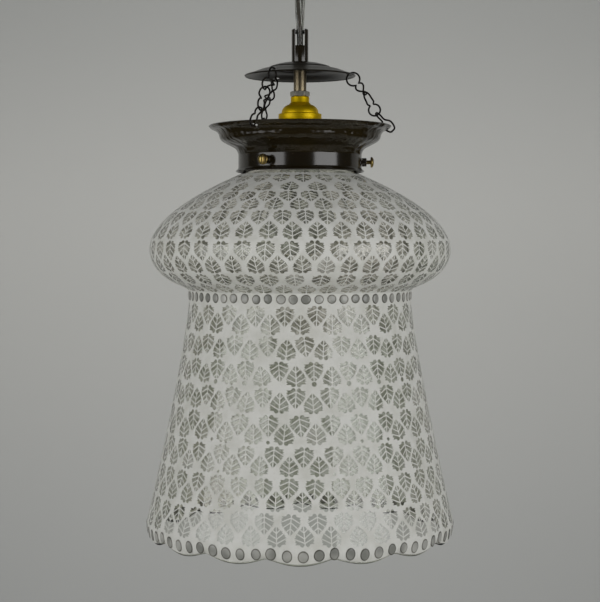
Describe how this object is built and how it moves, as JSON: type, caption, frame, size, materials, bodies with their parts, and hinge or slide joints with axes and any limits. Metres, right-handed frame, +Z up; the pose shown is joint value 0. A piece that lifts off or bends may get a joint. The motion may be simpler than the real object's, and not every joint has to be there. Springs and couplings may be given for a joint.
{
  "type": "glass pendant lamp",
  "caption": "Ceiling pendant lamp: leaf-patterned bell glass with a scalloped hem in a bronze gallery on twisted-link chains below a small dish, brass lampholder and clear cord.",
  "frame": {"origin": "centre of the ceiling bracket's upper face, where it lies against the ceiling", "axes": "+Z up, out of the face against the ceiling; -Y towards the viewer of the picture; one chain hangs on +X"},
  "size_m": [0.2602, 0.2599, 0.5266],
  "materials": {
    "dark_bronze": "darkened bronze, satin with worn edges",
    "dark_wire": "darkened wire",
    "lacquered_brass": "lacquered brass",
    "old_nickel": "worn nickel plate",
    "zinc_steel": "zinc plated",
    "nickel_shell": "nickel plated",
    "shade_glass": "clear blown glass with a white pressed coat",
    "bulb_glass": "clear glass",
    "porcelain": "glazed",
    "block_plastic": "moulded",
    "clear_cord": "clear sheath over tinned cores",
    "core_sheath": "clear sheath"
  },
  "bodies": {
    "ceiling_fitting": {"ceiling_bracket": "zinc_steel", "ceiling_cup": "dark_bronze", "cup_screw_right": "dark_bronze", "cup_screw_left": "dark_bronze", "terminal_block": "block_plastic", "cord_tail": "clear_cord", "cord_grip": "dark_bronze", "grip_nut": "lacquered_brass"},
    "pendant": {"supply_cord": "clear_cord", "cord_loop": "dark_bronze", "stem_tube": "old_nickel", "live_core": "core_sheath", "neutral_core": "core_sheath", "chain_dish": "dark_bronze", "stem_nut": "old_nickel", "holder_cap": "lacquered_brass", "holder_insert": "porcelain", "holder_skirt": "lacquered_brass", "shade_ring": "lacquered_brass"},
    "bulb": {"bulb_cap": "nickel_shell", "bulb_glass": "bulb_glass"},
    "shade": {"gallery": "dark_bronze", "glass_shade": "shade_glass", "screw_boss_right": "dark_bronze", "screw_boss_back": "dark_bronze", "screw_boss_front": "dark_bronze"},
    "right_chain": {"right_chain_top_link": "dark_wire", "right_chain_middle_link": "dark_wire", "right_chain_hook": "dark_wire"},
    "back_chain": {"back_chain_top_link": "dark_wire", "back_chain_middle_link": "dark_wire", "back_chain_hook": "dark_wire"},
    "front_chain": {"front_chain_top_link": "dark_wire", "front_chain_middle_link": "dark_wire", "front_chain_hook": "dark_wire"},
    "thumb_screw_right": {"thumb_screw_right": "lacquered_brass"},
    "thumb_screw_back": {"thumb_screw_back": "lacquered_brass"},
    "thumb_screw_front": {"thumb_screw_front": "lacquered_brass"}
  },
  "joints": [
    {"name": "lamp_swing", "type": "hinge", "parent": "ceiling_fitting", "child": "pendant", "pos_m": [0, 0, -0.057], "axis": [0, 1, 0], "range_deg": [-12, 12]},
    {"name": "shade_sway", "type": "hinge", "parent": "pendant", "child": "shade", "pos_m": [0, 0, -0.07145], "axis": [1, 0, 0], "range_deg": [-4.5, 4.5]},
    {"name": "bulb_out", "type": "slide", "parent": "pendant", "child": "bulb", "axis": [0, 0, -1], "range_m": [0, 0.025]},
    {"name": "right_chain_swing", "type": "hinge", "parent": "pendant", "child": "right_chain", "pos_m": [0.0416, 0, -0.13505], "axis": [1, 0, 0], "range_deg": [-11, 11]},
    {"name": "back_chain_swing", "type": "hinge", "parent": "pendant", "child": "back_chain", "pos_m": [-0.0208, 0.03603, -0.13505], "axis": [1, 0, 0], "range_deg": [-11, 11]},
    {"name": "front_chain_swing", "type": "hinge", "parent": "pendant", "child": "front_chain", "pos_m": [-0.0208, -0.03603, -0.13505], "axis": [1, 0, 0], "range_deg": [-11, 11]},
    {"name": "thumb_screw_right_out", "type": "slide", "parent": "shade", "child": "thumb_screw_right", "axis": [1, 0, 0], "range_m": [0, 0.0045]},
    {"name": "thumb_screw_back_out", "type": "slide", "parent": "shade", "child": "thumb_screw_back", "axis": [-0.5, 0.866, 0], "range_m": [0, 0.0045]},
    {"name": "thumb_screw_front_out", "type": "slide", "parent": "shade", "child": "thumb_screw_front", "axis": [-0.5, -0.866, 0], "range_m": [0, 0.0045]}
  ],
  "couplings": [
    {"joint": "right_chain_swing", "follows": "shade_sway", "ratio": 2.3376},
    {"joint": "back_chain_swing", "follows": "shade_sway", "ratio": 2.3376},
    {"joint": "front_chain_swing", "follows": "shade_sway", "ratio": 2.3376}
  ]
}
